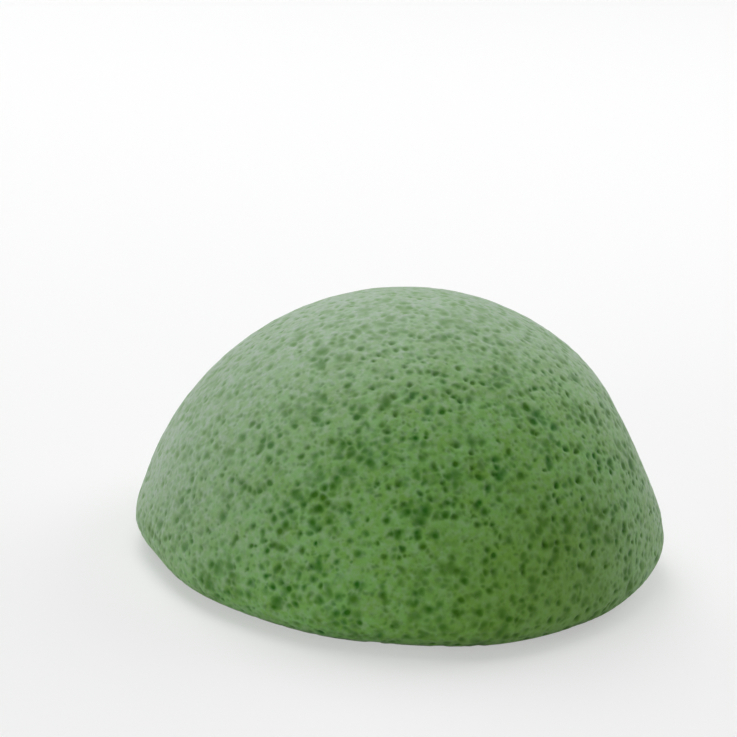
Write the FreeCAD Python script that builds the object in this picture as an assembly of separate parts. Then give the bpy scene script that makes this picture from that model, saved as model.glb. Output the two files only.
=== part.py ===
import FreeCAD, Part
import math
import os
from FreeCAD import Vector

# Konjac sponge: a half ball of foam, cast in a round mould and lying on its flat side.
# Lengths are in millimetres. The origin is the middle of the flat side, and +Z points up the dome.
# The casting has three layers, each a node: the skin that formed against the mould,
# the foam inside it, and the flat side that set in the open top of the mould.

# Sizes of the whole casting
dome_diameter = 80.0
dome_height = 41.0
rim_radius = 5.5

# Thickness of the close-grained skin, the same on the dome and on the flat side
skin_thickness = 2.0

# The foam inside is bounded by flat facets whose corners lie on the inside of the skin
rim_facet_rows = 2
ball_facet_rows = 5
facets_around = 24

# The large open cells of the dome and of the flat side: the width of their mouths, how far apart
# they lie on each surface, and how far a cell may stray from its even place
smallest_cell_width = 1.2
largest_cell_width = 2.6
dome_cell_spacing = 9.2
face_cell_spacing = 8.0
cell_stray = 2.2

# Depth of the widest cell as a share of the skin, and width of a cell's floor as a share of its mouth
cell_depth_share = 0.65
cell_floor_share = 0.45

# How far a cutter stands proud of the surface that it cuts, as a share of its mouth's width
cutter_overrun_share = 0.2

# Corners of a cell's mouth: the fewest, and how many kinds of cell there are from there up
fewest_cell_sides = 5
cell_side_kinds = 2

# Steps that scatter a row of values with no order to the eye, as shares of the whole range
round_step_share = (3 - math.sqrt(5)) / 2
width_step_share = math.sqrt(2) - 1
turn_step_share = math.sqrt(7) - 2
stray_step_shares = [math.sqrt(3) - 1, math.sqrt(11) - 3, math.sqrt(13) - 3]

# Outline of the half ball: one large arc over the dome, and a small one round the rim that
# meets it without a corner and runs out level with the flat side
face_radius = dome_diameter / 2 - rim_radius
shoulder_rise = dome_height - 2 * rim_radius
ball_radius = rim_radius + (face_radius ** 2 + shoulder_rise ** 2) / (2 * shoulder_rise)
ball_centre = Vector(0, 0, dome_height - ball_radius)
rim_centre = Vector(face_radius, 0, rim_radius)
foot_angle = -math.pi / 2
meeting_angle = math.atan2(rim_centre.z - ball_centre.z, rim_centre.x)
top_angle = math.pi / 2

# Cells stay whole: a cell's centre keeps this far from the edge of its surface
edge_margin = largest_cell_width + cell_stray


def on_circle(centre, radius, angle):
    """A point of the XZ plane on a circle, at an angle up from +X."""
    return centre + Vector(radius * math.cos(angle), 0, radius * math.sin(angle))


def arc(centre, radius, start, end):
    """The arc of a circle in the XZ plane between two angles."""
    middle = (start + end) / 2
    points = [on_circle(centre, radius, angle) for angle in (start, middle, end)]
    return Part.Arc(*points).toShape()


def half_ball():
    """The whole casting: its outline, turned once about the Z axis."""
    middle = Vector(0, 0, 0)
    outline = Part.Wire([
        Part.makeLine(middle, Vector(face_radius, 0, 0)),
        arc(rim_centre, rim_radius, foot_angle, meeting_angle),
        arc(ball_centre, ball_radius, meeting_angle, top_angle),
        Part.makeLine(Vector(0, 0, dome_height), middle),
    ])
    return Part.Face(outline).revolve(middle, Vector(0, 0, 1), 360)


def ring(radius, level, sides, turn):
    """Corners of a many-sided ring about the Z axis, at a level."""
    angles = [turn + 2 * math.pi * i / sides for i in range(sides)]
    return [Vector(radius * math.cos(angle), radius * math.sin(angle), level) for angle in angles]


def flat_sided_solid(rings):
    """The solid between the first ring and the last, with flat walls from each ring to the next."""
    faces = [Part.Face(Part.makePolygon(end + end[:1])) for end in (rings[0], rings[-1])]
    for lower, upper in zip(rings, rings[1:]):
        for i in range(len(lower)):
            wall = [lower[i - 1], lower[i], upper[i], upper[i - 1], lower[i - 1]]
            faces.append(Part.Face(Part.makePolygon(wall)))
    return Part.Solid(Part.Shell(faces))


def foam_core():
    """The foam that the skin encloses: rows of flat facets, closed by a small flat top."""
    rim_step = (meeting_angle - foot_angle) / rim_facet_rows
    ball_step = (top_angle - meeting_angle) / (ball_facet_rows + 0.5)
    corners = []
    for row in range(rim_facet_rows):
        corners.append(on_circle(rim_centre, rim_radius - skin_thickness, foot_angle + row * rim_step))
    for row in range(ball_facet_rows + 1):
        corners.append(on_circle(ball_centre, ball_radius - skin_thickness, meeting_angle + row * ball_step))
    return flat_sided_solid([ring(corner.x, corner.z, facets_around, 0) for corner in corners])


def scatter(index, step_share):
    """A value from 0 to 1 that jumps about the range as the index grows."""
    return index * step_share % 1


def cell_cutter(index, place, outward):
    """A tapered plug with flat sides that hollows one open cell out of the surface at a place."""
    spread = largest_cell_width - smallest_cell_width
    width = smallest_cell_width + spread * scatter(index, width_step_share) ** 2
    depth = cell_depth_share * skin_thickness * width / largest_cell_width
    taper = (1 - cell_floor_share) * width / 2 / depth
    sides = fewest_cell_sides + index % cell_side_kinds
    turn = 2 * math.pi * scatter(index, turn_step_share)
    levels = (-depth, cutter_overrun_share * width)
    plug = flat_sided_solid([ring(width / 2 + taper * level, level, sides, turn) for level in levels])
    plug.Placement = FreeCAD.Placement(place, FreeCAD.Rotation(Vector(0, 0, 1), outward))
    return plug


def stray(index):
    """How far a cell lies from its even place, a little different for each."""
    return Vector(*[2 * scatter(index, step) - 1 for step in stray_step_shares]) * cell_stray


def dome_cells():
    """Cutters for the open cells of the dome, wound out from its top like the seeds of a sunflower."""
    lowest_share = math.sin(meeting_angle + edge_margin / ball_radius)
    cap_area = 2 * math.pi * ball_radius ** 2 * (1 - lowest_share)
    count = round(cap_area / dome_cell_spacing ** 2)
    cutters = []
    for i in range(count):
        height_share = 1 - (i + 0.5) / count * (1 - lowest_share)
        reach_share = math.sqrt(1 - height_share ** 2)
        around = 2 * math.pi * scatter(i, round_step_share)
        even = Vector(reach_share * math.cos(around), reach_share * math.sin(around), height_share)
        outward = (even * ball_radius + stray(i)).normalize()
        cutters.append(cell_cutter(i, ball_centre + outward * ball_radius, outward))
    return cutters


def face_cells():
    """Cutters for the open cells of the flat side, wound out from its middle."""
    reach = face_radius - edge_margin
    count = round(math.pi * reach ** 2 / face_cell_spacing ** 2)
    cutters = []
    for i in range(count):
        radius = reach * math.sqrt((i + 0.5) / count)
        around = 2 * math.pi * scatter(i, round_step_share)
        place = Vector(radius * math.cos(around), radius * math.sin(around), 0) + stray(i)
        cutters.append(cell_cutter(i, Vector(place.x, place.y, 0), Vector(0, 0, -1)))
    return cutters


core = foam_core()
face_layer = Part.makeCylinder(face_radius, skin_thickness)
skin = half_ball().cut([core, face_layer])

os.makedirs("parts", exist_ok=True)
nodes = {
    "dome_skin": skin.cut(dome_cells()),
    "foam_core": core,
    "flat_face": face_layer.cut(face_cells()),
}
for name, shape in nodes.items():
    print(name, "solids", len(shape.Solids), "valid", shape.isValid(), "mm3", round(shape.Volume, 1))
    shape.exportStep("parts/" + name + ".step")
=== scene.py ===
import math

import bpy
from mathutils import Matrix, Vector


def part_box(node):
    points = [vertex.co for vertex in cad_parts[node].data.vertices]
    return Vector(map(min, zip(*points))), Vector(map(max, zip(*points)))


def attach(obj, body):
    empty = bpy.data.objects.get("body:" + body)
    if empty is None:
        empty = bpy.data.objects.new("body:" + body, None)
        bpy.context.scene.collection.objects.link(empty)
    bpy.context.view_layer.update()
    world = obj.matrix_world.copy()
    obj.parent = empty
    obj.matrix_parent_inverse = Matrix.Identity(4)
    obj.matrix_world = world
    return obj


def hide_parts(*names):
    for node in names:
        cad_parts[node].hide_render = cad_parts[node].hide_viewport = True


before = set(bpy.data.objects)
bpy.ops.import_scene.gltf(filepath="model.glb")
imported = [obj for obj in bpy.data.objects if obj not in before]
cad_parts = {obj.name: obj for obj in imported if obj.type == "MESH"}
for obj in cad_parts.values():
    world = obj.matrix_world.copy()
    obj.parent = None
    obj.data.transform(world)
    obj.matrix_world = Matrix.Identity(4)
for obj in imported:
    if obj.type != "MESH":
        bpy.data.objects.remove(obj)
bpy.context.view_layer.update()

# One millimetre, in metres
mm = 0.001

# Sizes of the casting, read from the CAD pieces: the small arc of the rim meets the large arc of the ball,
# and the flat side rests at level zero
dome_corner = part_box("dome_skin")[1]
flat_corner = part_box("flat_face")[1]
dome_height = dome_corner.z
dome_radius = dome_corner.x
face_radius = flat_corner.x
skin_thickness = flat_corner.z
rim_radius = dome_radius - face_radius
shoulder_rise = dome_height - 2 * rim_radius
ball_radius = rim_radius + (face_radius ** 2 + shoulder_rise ** 2) / (2 * shoulder_rise)
ball_level = dome_height - ball_radius

# The blank: rings of points up the outline, and how far the soft foam leans to one side as it rises
ring_points = 96
rim_rings = 5
ball_rings = 15
lean_share = 0.04

# Soft unevenness that pressing and drying leave, in millimetres: the place of each push, how it moves the
# skin, and its reach
pushes = {
    "right flank eased in": ((35.5, 7, 19), (-1.2, 0, -0.1), 16),
    "right rim spread": ((40, 1, 5), (1.0, 0, 0.3), 16),
    "left rim spread": ((-39.5, -8, 5), (-0.6, -0.1, 0), 10),
    "front rim spread": ((16, -36, 4), (0.2, -0.9, 0), 18),
    "front left foot spread": ((-8, -33.5, 0), (-0.1, -0.9, 0), 16),
    "left foot spread": ((-24, -24.8, 0), (-0.5, -0.6, 0), 16),
    "back rim spread": ((5, 40, 5), (0, 0.5, 0), 14),
}

# Grain of the mesh that the cells are pressed into, and how often and how strongly it is smoothed
mesh_grain = 0.25 * mm
smoothing_rounds = 4
smoothing_strength = 0.5

# The blank's slow unevenness: how long its waves are, how far they reach, and how far up the skin must
# face, from -1 straight down, before it starts and before it is whole
uneven_wave = 4 * mm
uneven_reach = 0.22 * mm
uneven_facing = (-0.95, -0.5)

# Kinds of open cell, coarse to fine, in millimetres: how far apart the bubbles lie, their smallest and
# largest radius, the share that is open, how dark the faintest and the darkest look, which is partly the
# deeper foam's own green and partly painted shade of the hollows, and how deep a cell of darkness 1 is
cell_kinds = {
    "large": (3.0, 1.00, 1.55, 0.65, 0.50, 1.10, 0.28),
    "middle": (1.45, 0.64, 1.00, 0.92, 0.36, 1.28, 0.18),
    "small": (1.00, 0.46, 0.66, 1.00, 0.14, 0.70, 0.05),
    "tiny": (0.75, 0.32, 0.48, 1.00, 0.05, 0.35, 0.00),
}

# How far the bubbles of each kind are moved from those of the kind before, in metres, so that no two
# kinds lie alike
kind_shift = (0.1, 0.2, 0.3)

# How much of a cell's radius its soft lip takes up
lip_share = 0.95

# Bubbles are never quite round: how long and how wide the waves are that bend their walls
wander_wave = 2.0 * mm
wander_reach = 0.9 * mm

# Patches of wide and of narrow cells: how wide a patch is, and the cells' smallest and largest share
patch_wave = 7 * mm
narrow_share = 0.85
wide_share = 1.25

# Cloudy noise: its middle, the range that it seldom leaves, which is stretched to a whole mix, and how
# much detail plain, usual and fine clouds have
cloud_middle = 0.5
cloud_range = (0.35, 0.65)
plain_detail = 1.0
usual_detail = 2.0
fine_detail = 3.0

# The bold cells: how deep and how dark they are, the darkness partly painted shade of the hollow, and their
# width as a share of the middle that is seen
bold_cell_depth = 0.38 * mm
bold_cell_shade_share = 0.95
bold_mouth_share = 1.4

# The photograph's frame, its focal length and the middle of the dome in it, in pixels
picture_side = 737
focal_pixels = 3144
middle_pixel = (405.2, 426.0)

# The camera: the width of its sensor in millimetres, its distance, how far above level it stands and how
# far it is rolled, and the nearest and farthest that it sees as shares of its distance
sensor_width = 36.0
view_distance = 0.48
view_elevation = math.radians(19.8)
view_roll = math.radians(5.15)
nearest_share = 0.1
farthest_share = 100

# Bold cells that the photograph shows: pixel across, pixel down, pixel width
bold_cell_pixels = (
    (420, 521, 13), (447, 503, 9), (434, 466, 9), (494, 459, 9), (494, 474, 8), (488, 487, 9),
    (477, 505, 10), (455, 518, 9), (493, 525, 8), (479, 525, 8), (403, 549, 9), (385, 557, 8),
    (488, 549, 9), (418, 538, 9), (391, 534, 7), (400, 532, 7), (421, 494, 8), (431, 500, 8),
    (404, 504, 8), (400, 485, 9), (377, 483, 8), (443, 484, 8), (457, 445, 8), (471, 454, 8),
    (473, 468, 8), (386, 464, 7), (402, 460, 7), (240, 483, 8), (290, 511, 9), (303, 504, 8),
    (318, 509, 9), (328, 503, 8), (253, 527, 9), (236, 539, 9), (274, 545, 9), (319, 528, 9),
    (300, 534, 8), (302, 551, 9), (278, 568, 9), (281, 582, 8), (311, 568, 8), (312, 580, 8),
    (207, 531, 8), (270, 511, 8), (372, 388, 8), (394, 397, 8), (411, 397, 7), (382, 409, 8),
    (435, 374, 8), (459, 401, 7), (449, 392, 8), (360, 349, 7), (379, 355, 7), (392, 343, 7),
    (405, 366, 7), (410, 385, 7), (396, 416, 7), (466, 379, 7), (576, 452, 8), (599, 462, 8),
    (565, 448, 8), (556, 485, 8), (559, 502, 8), (583, 499, 8), (554, 519, 8), (566, 520, 8),
    (582, 547, 8), (605, 510, 8), (624, 530, 8), (580, 566, 9), (579, 481, 8), (594, 555, 8),
    (557, 543, 8), (545, 544, 8), (383, 594, 10), (415, 593, 9), (388, 432, 8), (495, 572, 8),
    (525, 572, 8), (497, 474, 7), (459, 615, 8), (577, 618, 8),
)

# Colours of the skin: its walls and their painted shade, the inside of the cells, whose deeper green is
# partly painted shade of the hollows, and where the painted sheen veils it, and the painted sheen itself; and
# how long the waves are in which the walls and the cells change colour
cool_wall = (0.178, 0.403, 0.096, 1)
warm_wall = (0.152, 0.344, 0.051, 1)
painted_shade_wall = (0.148, 0.316, 0.038, 1)
cool_cell = (0.012, 0.122, 0.002, 1)
warm_cell = (0.042, 0.140, 0.001, 1)
sheen_veiled_cell = (0.215, 0.360, 0.160, 1)
painted_sheen_colour = (0.385, 0.470, 0.395, 1)
wall_wave = 3.0 * mm
cell_colour_wave = 4.0 * mm

# A painted sheen, a pale veil that stands in for light from behind and to the left, grows away from a place
# low down at the front and to the right: that place, how far its reach goes across, to the back and up, as
# shares, how far off the painted sheen starts and is strongest, and how much of the skin it covers there
shade_middle = Vector((26, -33, 2)) * mm
shade_reach = Vector((1.18, 0.75, 1.0))
sheen_range = (27 * mm, 70 * mm)
sheen_share = 0.65

# Pale specks, painted glints of sheen, lie at random all over the walls: how long their waves are, which part
# of the noise makes them, how much they cover, and how many times as much in the fullest painted shade and
# in the strongest painted sheen
speck_wave = 0.9 * mm
speck_range = (0.40, 0.75)
speck_share = 0.28
shaded_speck_share = 0.35
sheen_speck_share = 1.5

# The painted sheen is weaker near the foot: the levels between which it grows from this share to all of it
foot_range = (1 * mm, 15 * mm)
foot_sheen_share = 0.45

# More painted sheen on the crown and on the right flank: the levels, and how far out, between which it comes
crown_range = (32 * mm, 41 * mm)
crown_sheen = 0.04
flank_range = (24 * mm, 40 * mm)
flank_sheen = 0.16

# Painted shade darkens the walls round the same place: how far off it ends and is full, and its share there
painted_shade_range = (32 * mm, 9 * mm)
painted_shade_share = 0.75

# How strong the painted sheen must be before it veils the colour of the cells and makes them shallower: from
# none to all of it, and the share of the depth that even the strongest painted sheen leaves open
veiling_sheen = (0.08, 0.74)
filling_sheen = (0.00, 1.00)
open_depth_share = 0.6

# Finish of the skin: gloss on the walls and inside the cells, and the pale bloom of fine fibres
wall_roughness = 0.6
cell_roughness = 1.0
gloss_level = 0.22
bloom_weight = 0.15
bloom_roughness = 0.5

# Fine grain of the skin that is too small for the mesh
grain_wave = 0.5 * mm
grain_height = 0.015 * mm

# Soft boxes: how far off and how wide they are, and each one's angle round from the right, angle up and
# power in watts
soft_box_distance = 0.75
soft_box_size = 0.5
soft_boxes = {
    "back_left_box": (122, 50, 2.5),
    "front_left_box": (236, 8, 1.95),
    "back_right_box": (40, 35, 1.9),
    "top_box": (120, 82, 1.6),
}

# How brightly the white surround lights the sponge
surround_level = 0.2

# The floor: how pale it is, its width, its level just clear of the flat side, and how far it fades to
# white for the camera
floor_grey = 0.85
floor_width = 6.0
floor_level = -0.02 * mm
floor_fade = 0.45

white = (1, 1, 1, 1)


def only(piece):
    """Selects one piece and nothing else."""
    bpy.ops.object.select_all(action="DESELECT")
    piece.select_set(True)
    bpy.context.view_layer.objects.active = piece


def apply_modifier(piece, kind, **settings):
    """Adds a modifier with these settings and applies it."""
    only(piece)
    modifier = piece.modifiers.new(kind.lower(), kind)
    for name, value in settings.items():
        setattr(modifier, name, value)
    bpy.ops.object.modifier_apply(modifier=modifier.name)


def node(tree, kind, inputs=None, **settings):
    """Adds a node. Each input, by name or number, gets a value or a link from another node's output."""
    made = tree.nodes.new(kind)
    for name, value in settings.items():
        setattr(made, name, value)
    for key, value in (inputs or {}).items():
        if isinstance(value, bpy.types.NodeSocket):
            tree.links.new(value, made.inputs[key])
        else:
            made.inputs[key].default_value = value
    return made


def sums(tree, operation, *values):
    """The result of a sum on one to three numbers."""
    return node(tree, "ShaderNodeMath", dict(enumerate(values)), operation=operation).outputs[0]


def vector_sums(tree, operation, *values, output="Vector"):
    """The result of a sum on vectors."""
    return node(tree, "ShaderNodeVectorMath", dict(enumerate(values)), operation=operation).outputs[output]


def between(tree, value, start, end, low=0.0, high=1.0, curve="LINEAR"):
    """A value's place between start and end, given on the scale from low to high."""
    return node(tree, "ShaderNodeMapRange", {
        "Value": value, "From Min": start, "From Max": end, "To Min": low, "To Max": high,
    }, interpolation_type=curve).outputs["Result"]


def noise(tree, place, wave, detail=usual_detail, output="Fac"):
    """Cloudy noise about its middle, with waves of this length."""
    return node(tree, "ShaderNodeTexNoise", {
        "Vector": place, "Scale": 1 / wave, "Detail": detail,
    }).outputs[output]


def mixed(tree, share, first, second):
    """A mix of two colours, which a mix node takes at inputs 6 and 7 and gives at output 2."""
    return node(tree, "ShaderNodeMix", {0: share, 6: first, 7: second}, data_type="RGBA").outputs[2]


def camera_axes():
    """Place of the camera, and its right, up and backward directions."""
    middle = Vector((0, 0, dome_height / 2))
    back = Vector((0, -math.cos(view_elevation), math.sin(view_elevation)))
    level_right = Vector((1, 0, 0))
    level_up = back.cross(level_right)
    turn = Matrix.Rotation(view_roll, 3, back)
    right = turn @ level_right
    up = turn @ level_up
    place = middle + back * view_distance
    reach = view_distance / focal_pixels
    across = (middle_pixel[0] - picture_side / 2) * reach
    down = (middle_pixel[1] - picture_side / 2) * reach
    aim = middle - right * across + up * down
    back = (place - aim).normalized()
    right = (right - back * right.dot(back)).normalized()
    return place, right, back.cross(right), back


def make_camera():
    """The camera at the photograph's angle."""
    place, right, up, back = camera_axes()
    data = bpy.data.cameras.new("camera")
    data.sensor_width = sensor_width
    data.lens = sensor_width * focal_pixels / picture_side
    data.clip_start = view_distance * nearest_share
    data.clip_end = view_distance * farthest_share
    camera = bpy.data.objects.new("camera", data)
    camera.matrix_world = Matrix.Translation(place) @ Matrix((right, up, back)).transposed().to_4x4()
    bpy.context.scene.collection.objects.link(camera)
    bpy.context.scene.camera = camera


def sight_line(across, down):
    """Where the line of sight through a pixel starts, and its direction."""
    place, right, up, back = camera_axes()
    middle = picture_side / 2
    direction = right * (across - middle) + up * (middle - down) - back * focal_pixels
    return place, direction.normalized()


def outline_rings():
    """Radius and level of each ring of the outline, from the flat side's edge to the top."""
    foot, top = -math.pi / 2, math.pi / 2
    meeting = math.atan2(rim_radius - ball_level, face_radius)
    for step in range(1, rim_rings + 1):
        angle = foot + (meeting - foot) * step / rim_rings
        yield face_radius + rim_radius * math.cos(angle), rim_radius * (1 + math.sin(angle))
    for step in range(1, ball_rings):
        angle = meeting + (top - meeting) * step / ball_rings
        yield ball_radius * math.cos(angle), ball_level + ball_radius * math.sin(angle)


def push(piece, place, move, reach):
    """Moves the point nearest to a place, and softly what lies within reach of it."""
    place = Vector(place) * mm
    bpy.ops.object.mode_set(mode="OBJECT")
    nearest = min(piece.data.vertices, key=lambda vertex: (vertex.co - place).length)
    for part in (*piece.data.polygons, *piece.data.edges, *piece.data.vertices):
        part.select = False
    nearest.select = True
    bpy.ops.object.mode_set(mode="EDIT")
    bpy.ops.mesh.select_mode(type="VERT")
    bpy.ops.transform.translate(
        value=Vector(move) * mm,
        use_proportional_edit=True,
        proportional_edit_falloff="SMOOTH",
        proportional_size=reach * mm,
    )


def cast_half_ball():
    """The smooth blank: a disc drawn up ring by ring along the outline, then pushed about at the listed
    places.
    """
    bpy.ops.object.select_all(action="DESELECT")
    bpy.ops.mesh.primitive_circle_add(vertices=ring_points, radius=face_radius, fill_type="NGON")
    blank = bpy.context.object
    blank.name = "dome"
    bpy.ops.object.mode_set(mode="EDIT")
    bpy.ops.mesh.select_all(action="SELECT")
    last_radius, last_level = face_radius, 0
    for radius, level in outline_rings():
        rise = level - last_level
        share = radius / last_radius
        bpy.ops.mesh.extrude_region_move(TRANSFORM_OT_translate={"value": (lean_share * rise, 0, rise)})
        bpy.ops.transform.resize(value=(share, share, 1), center_override=(lean_share * level, 0, level))
        last_radius, last_level = radius, level
    bpy.ops.mesh.select_all(action="SELECT")
    bpy.ops.mesh.normals_make_consistent(inside=False)
    for place, move, reach in pushes.values():
        push(blank, place, move, reach)
    bpy.ops.object.mode_set(mode="OBJECT")
    apply_modifier(blank, "REMESH", mode="VOXEL", voxel_size=mesh_grain, use_smooth_shade=True)
    apply_modifier(blank, "SMOOTH", factor=smoothing_strength, iterations=smoothing_rounds)
    return blank


def mark_bold_cells(blank):
    """A loose point on the blank for each bold cell of the photograph, with its radius."""
    places, radii = [], []
    for across, down, width in bold_cell_pixels:
        start, direction = sight_line(across, down)
        hit, place, _, _ = blank.ray_cast(start, direction)
        if hit:
            places.append(place)
            radii.append(width / 2 * (place - start).length / focal_pixels)
    mesh = bpy.data.meshes.new("bold_cells")
    mesh.from_pydata(places, [], [])
    radius = mesh.attributes.new("cell_radius", "FLOAT", "POINT")
    radius.data.foreach_set("value", radii)
    marks = bpy.data.objects.new("bold_cells", mesh)
    bpy.context.scene.collection.objects.link(marks)
    return marks


def hollow(tree, place, centre, radius):
    """How far inside a round hollow with a soft lip a place lies: 1 in the middle and 0 outside."""
    away = vector_sums(tree, "DISTANCE", centre, place, output="Value")
    return between(tree, away, radius, sums(tree, "MULTIPLY", radius, 1 - lip_share), curve="SMOOTHSTEP")


def bent_place(tree, here):
    """A place of the blank, moved about a little so that what is read there isn't round."""
    wander = noise(tree, here, wander_wave, plain_detail, "Color")
    wander = vector_sums(tree, "SUBTRACT", wander, (cloud_middle,) * 3)
    return vector_sums(tree, "MULTIPLY_ADD", wander, (wander_reach,) * 3, here)


def one_kind_of_cell(tree, place, size_share, number, kind):
    """How dark one kind of cell makes a place: the darker of its two nearest bubbles, or 0 outside them."""
    spacing, smallest, largest, open_share, faintest, darkest, _ = kind
    place = vector_sums(tree, "ADD", place, tuple(number * shift for shift in kind_shift))
    shade = 0.0
    for rank in ("F1", "F2"):
        bubbles = node(tree, "ShaderNodeTexVoronoi", {
            "Vector": place, "Scale": 1 / (spacing * mm),
        }, voronoi_dimensions="3D", feature=rank)
        draw = node(tree, "ShaderNodeSeparateXYZ", {0: bubbles.outputs["Color"]})
        radius = sums(tree, "MULTIPLY_ADD", draw.outputs[0], (largest - smallest) * mm, smallest * mm)
        is_open = sums(tree, "LESS_THAN", draw.outputs[1], open_share)
        radius = sums(tree, "MULTIPLY", sums(tree, "MULTIPLY", radius, is_open), size_share)
        inside = hollow(tree, place, bubbles.outputs["Position"], radius)
        strength = sums(tree, "MULTIPLY_ADD", draw.outputs[2], darkest - faintest, faintest)
        shade = sums(tree, "MAXIMUM", shade, sums(tree, "MULTIPLY", inside, strength))
    return shade


def cell_shades(tree, here):
    """How dark each kind of cell makes a place of the blank: the mesh reads this as depth, the colour as
    deeper green that is partly painted shade.
    """
    place = bent_place(tree, here)
    patch = noise(tree, here, patch_wave, plain_detail)
    size_share = between(tree, patch, *cloud_range, narrow_share, wide_share)
    return [
        one_kind_of_cell(tree, place, size_share, number, kind)
        for number, kind in enumerate(cell_kinds.values(), 1)
    ]


def painted_sheen_and_shade(tree, here):
    """How much painted sheen covers a place of the blank, and how much painted shade darkens it."""
    away = vector_sums(tree, "DIVIDE", vector_sums(tree, "SUBTRACT", here, shade_middle), shade_reach)
    away = vector_sums(tree, "LENGTH", away, output="Value")
    across, _, level = node(tree, "ShaderNodeSeparateXYZ", {0: here}).outputs
    sheen_veil = between(tree, away, *sheen_range, high=sheen_share, curve="SMOOTHSTEP")
    foot = between(tree, level, *foot_range, low=foot_sheen_share, curve="SMOOTHSTEP")
    crown = between(tree, level, *crown_range, high=crown_sheen, curve="SMOOTHSTEP")
    flank = between(tree, across, *flank_range, high=flank_sheen, curve="SMOOTHSTEP")
    sheen_veil = sums(tree, "MULTIPLY_ADD", sums(tree, "ADD", sheen_veil, flank), foot, crown)
    painted_shade = between(tree, away, *painted_shade_range, high=painted_shade_share, curve="SMOOTHSTEP")
    return sheen_veil, painted_shade


def bold_cell_shade(tree, here, marks):
    """How dark the bold cells make a place of the blank."""
    marked = node(tree, "GeometryNodeObjectInfo", {"Object": marks}).outputs["Geometry"]
    nearest = node(tree, "GeometryNodeSampleNearest", {
        "Geometry": marked, "Sample Position": here,
    }).outputs[0]
    centre = node(tree, "GeometryNodeSampleIndex", {
        "Geometry": marked, "Index": nearest, "Value": here,
    }, data_type="FLOAT_VECTOR").outputs[0]
    radii = node(tree, "GeometryNodeInputNamedAttribute", {"Name": "cell_radius"}).outputs["Attribute"]
    radius = node(tree, "GeometryNodeSampleIndex", {
        "Geometry": marked, "Index": nearest, "Value": radii,
    }, data_type="FLOAT").outputs[0]
    return hollow(tree, bent_place(tree, here), centre, sums(tree, "MULTIPLY", radius, bold_mouth_share))


def stored(tree, shape, name, value, kind):
    """Keeps a value on the points of a shape, for the colour to read."""
    return node(tree, "GeometryNodeStoreNamedAttribute", {
        "Geometry": shape, "Name": name, "Value": value,
    }, data_type=kind, domain="POINT").outputs[0]


def cell_nodes(marks):
    """Geometry nodes that hollow the open cells out of the blank."""
    tree = bpy.data.node_groups.new("open_cells", "GeometryNodeTree")
    tree.interface.new_socket("Geometry", in_out="INPUT", socket_type="NodeSocketGeometry")
    tree.interface.new_socket("Geometry", in_out="OUTPUT", socket_type="NodeSocketGeometry")
    shape = node(tree, "NodeGroupInput").outputs[0]
    here = node(tree, "GeometryNodeInputPosition").outputs[0]
    normal = node(tree, "GeometryNodeInputNormal").outputs[0]

    bold = bold_cell_shade(tree, here, marks)
    depth = sums(tree, "MULTIPLY", bold, bold_cell_depth)
    for shade, (*_, whole_depth) in zip(cell_shades(tree, here), cell_kinds.values()):
        depth = sums(tree, "MAXIMUM", depth, sums(tree, "MULTIPLY", shade, whole_depth * mm))
    # The painted sheen's mask also makes the cells shallower
    sheen_veil, _ = painted_sheen_and_shade(tree, here)
    depth = sums(tree, "MULTIPLY", depth, between(tree, sheen_veil, *filling_sheen, 1.0, open_depth_share))

    # The flat side stays flat, so that the sponge rests on it
    facing = node(tree, "ShaderNodeSeparateXYZ", {0: normal}).outputs[2]
    free = between(tree, facing, *uneven_facing, curve="SMOOTHSTEP")
    wave = sums(tree, "SUBTRACT", noise(tree, here, uneven_wave, fine_detail), cloud_middle)
    uneven = sums(tree, "MULTIPLY", sums(tree, "MULTIPLY", wave, uneven_reach), free)
    rise = sums(tree, "SUBTRACT", uneven, depth)
    offset = node(tree, "ShaderNodeVectorMath", {0: normal, "Scale": rise}, operation="SCALE").outputs[0]

    shape = stored(tree, shape, "cast_place", here, "FLOAT_VECTOR")
    shape = stored(tree, shape, "bold_shade", bold, "FLOAT")
    moved = node(tree, "GeometryNodeSetPosition", {"Geometry": shape, "Offset": offset})
    node(tree, "NodeGroupOutput", {0: moved.outputs[0]})
    return tree


def open_cells(blank):
    """Hollows the open cells out of the blank."""
    marks = mark_bold_cells(blank)
    tree = cell_nodes(marks)
    apply_modifier(blank, "NODES", node_group=tree)
    bpy.data.objects.remove(marks)
    bpy.data.node_groups.remove(tree)


def part_flat_side(dome):
    """Parts the layer that set in the open top of the mould from the dome, round its edge and a skin deep."""
    bpy.ops.object.select_all(action="DESELECT")
    bpy.ops.mesh.primitive_cylinder_add(
        vertices=ring_points, radius=face_radius, depth=2 * skin_thickness, location=(0, 0, 0),
    )
    cutter = bpy.context.object
    only(dome)
    bpy.ops.object.duplicate()
    flat_side = bpy.context.object
    flat_side.name = "flat_side"
    apply_modifier(flat_side, "BOOLEAN", operation="INTERSECT", solver="MANIFOLD", object=cutter)
    apply_modifier(dome, "BOOLEAN", operation="DIFFERENCE", solver="MANIFOLD", object=cutter)
    bpy.data.objects.remove(cutter)
    return flat_side


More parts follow.
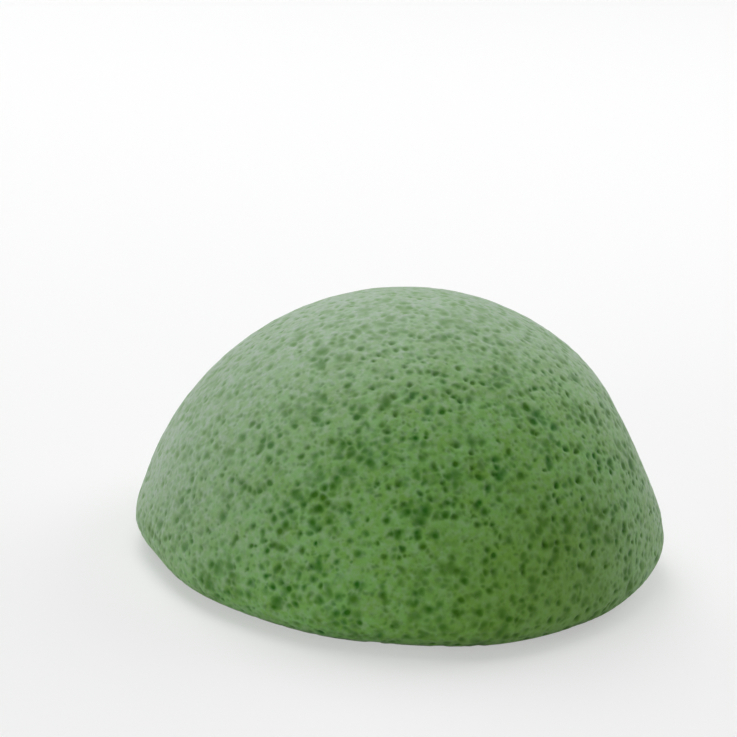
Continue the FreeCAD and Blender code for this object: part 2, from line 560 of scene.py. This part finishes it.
def skin_material():
    """Green konjac skin: pale walls, cells of deeper green that is partly painted shade, a soft bloom, and
    painted sheen, specks of painted glint and painted shade.
    """
    material = bpy.data.materials.new("konjac_skin")
    material.use_nodes = True
    tree = material.node_tree
    tree.nodes.clear()
    here = node(tree, "ShaderNodeAttribute", attribute_name="cast_place").outputs["Vector"]
    bold = node(tree, "ShaderNodeAttribute", attribute_name="bold_shade").outputs["Fac"]
    shades = cell_shades(tree, here)
    wall = sums(tree, "MULTIPLY_ADD", bold, -bold_cell_shade_share, 1.0)
    for shade in shades:
        wall = sums(tree, "MULTIPLY", wall, sums(tree, "SUBTRACT", 1.0, shade))

    warmth = between(tree, noise(tree, here, wall_wave), *cloud_range)
    sheen_veil, painted_shade = painted_sheen_and_shade(tree, here)
    wall_colour = mixed(tree, warmth, cool_wall, warm_wall)
    # Painted shade: the walls darker and more saturated low at the front and to the right, where less light
    # falls
    wall_colour = mixed(tree, painted_shade, wall_colour, painted_shade_wall)
    # Pale specks of painted glint, more where the painted sheen is strong and fewer in the painted shade
    speck = between(tree, noise(tree, here, speck_wave, plain_detail), *speck_range, high=speck_share)
    speck = sums(tree, "MULTIPLY", speck, between(tree, painted_shade, 0.0, painted_shade_share, 1.0, shaded_speck_share))
    speck = sums(tree, "MULTIPLY", speck, between(tree, sheen_veil, 0.0, sheen_share, 1.0, sheen_speck_share))
    # Painted sheen: the walls pale away from the low front right, most towards the top and left
    wall_colour = mixed(tree, sums(tree, "ADD", sheen_veil, speck), wall_colour, painted_sheen_colour)
    drift = between(tree, noise(tree, here, cell_colour_wave, plain_detail), *cloud_range)
    # The cells' deeper green: partly the foam's own colour, partly painted shade of the hollows
    cell_colour = mixed(tree, drift, cool_cell, warm_cell)
    # Painted shade there also warms the cells
    cell_colour = mixed(tree, painted_shade, cell_colour, warm_cell)
    # Painted sheen veils the cells' colour too
    cell_colour = mixed(tree, between(tree, sheen_veil, *veiling_sheen), cell_colour, sheen_veiled_cell)

    # The two finest kinds of cell lie below the grain
    _, _, small, tiny = shades
    fine = sums(tree, "MULTIPLY", sums(tree, "ADD", small, tiny), -1.0)
    grain = sums(tree, "ADD", noise(tree, here, grain_wave, fine_detail), fine)
    bump = node(tree, "ShaderNodeBump", {"Height": grain, "Distance": grain_height})
    finish = node(tree, "ShaderNodeBsdfPrincipled", {
        "Base Color": mixed(tree, wall, cell_colour, wall_colour),
        "Roughness": between(tree, wall, 0.0, 1.0, cell_roughness, wall_roughness),
        "Specular IOR Level": gloss_level,
        "Sheen Weight": bloom_weight,
        "Sheen Roughness": bloom_roughness,
        "Normal": bump.outputs[0],
    })
    node(tree, "ShaderNodeOutputMaterial", {"Surface": finish.outputs[0]})
    return material


def make_floor():
    """A pale floor, white to the camera apart from the sponge's shadow."""
    bpy.ops.object.select_all(action="DESELECT")
    bpy.ops.mesh.primitive_plane_add(size=floor_width, location=(0, 0, floor_level))
    floor = bpy.context.object
    floor.name = "floor"
    material = bpy.data.materials.new("pale_floor")
    material.use_nodes = True
    tree = material.node_tree
    tree.nodes.clear()
    matt = node(tree, "ShaderNodeBsdfDiffuse", {"Color": (floor_grey, floor_grey, floor_grey, 1)})
    glow = node(tree, "ShaderNodeEmission", {"Color": white, "Strength": 1.0})
    seen = node(tree, "ShaderNodeLightPath").outputs["Is Camera Ray"]
    share = sums(tree, "MULTIPLY", seen, floor_fade)
    both = node(tree, "ShaderNodeMixShader", {0: share, 1: matt.outputs[0], 2: glow.outputs[0]})
    node(tree, "ShaderNodeOutputMaterial", {"Surface": both.outputs[0]})
    floor.data.materials.append(material)


def soft_box(name, around, height, power):
    """A large soft lamp facing the dome, by its angle round from the right and its angle up."""
    around, height = math.radians(around), math.radians(height)
    direction = Vector((
        math.cos(height) * math.cos(around), math.cos(height) * math.sin(around), math.sin(height),
    ))
    lamp = bpy.data.lights.new(name, "AREA")
    lamp.shape = "DISK"
    lamp.size = soft_box_size
    lamp.energy = power
    box = bpy.data.objects.new(name, lamp)
    box.location = direction * soft_box_distance
    box.rotation_mode = "QUATERNION"
    box.rotation_quaternion = direction.to_track_quat("Z", "Y")
    bpy.context.scene.collection.objects.link(box)


def make_light():
    """Soft studio light: a dim white surround and soft boxes, the strongest behind and to the left."""
    world = bpy.data.worlds.new("white_surround")
    bpy.context.scene.world = world
    world.use_nodes = True
    tree = world.node_tree
    tree.nodes.clear()
    seen = node(tree, "ShaderNodeLightPath").outputs["Is Camera Ray"]
    strength = between(tree, seen, 0.0, 1.0, surround_level, 1.0)
    glow = node(tree, "ShaderNodeBackground", {"Color": white, "Strength": strength})
    node(tree, "ShaderNodeOutputWorld", {"Surface": glow.outputs[0]})
    for name, lamp in soft_boxes.items():
        soft_box(name, *lamp)


def finish_piece(piece, material, *replaced):
    """Gives a soft piece its skin and says what it stands for."""
    piece.data.materials.clear()
    piece.data.materials.append(material)
    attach(piece, "root")
    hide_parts(*replaced)


make_camera()
dome = cast_half_ball()
open_cells(dome)
flat_side = part_flat_side(dome)
skin = skin_material()
finish_piece(dome, skin, "dome_skin", "foam_core")
finish_piece(flat_side, skin, "flat_face")
make_floor()
make_light()

view_settings = bpy.context.scene.view_settings
view_settings.view_transform = "Standard"
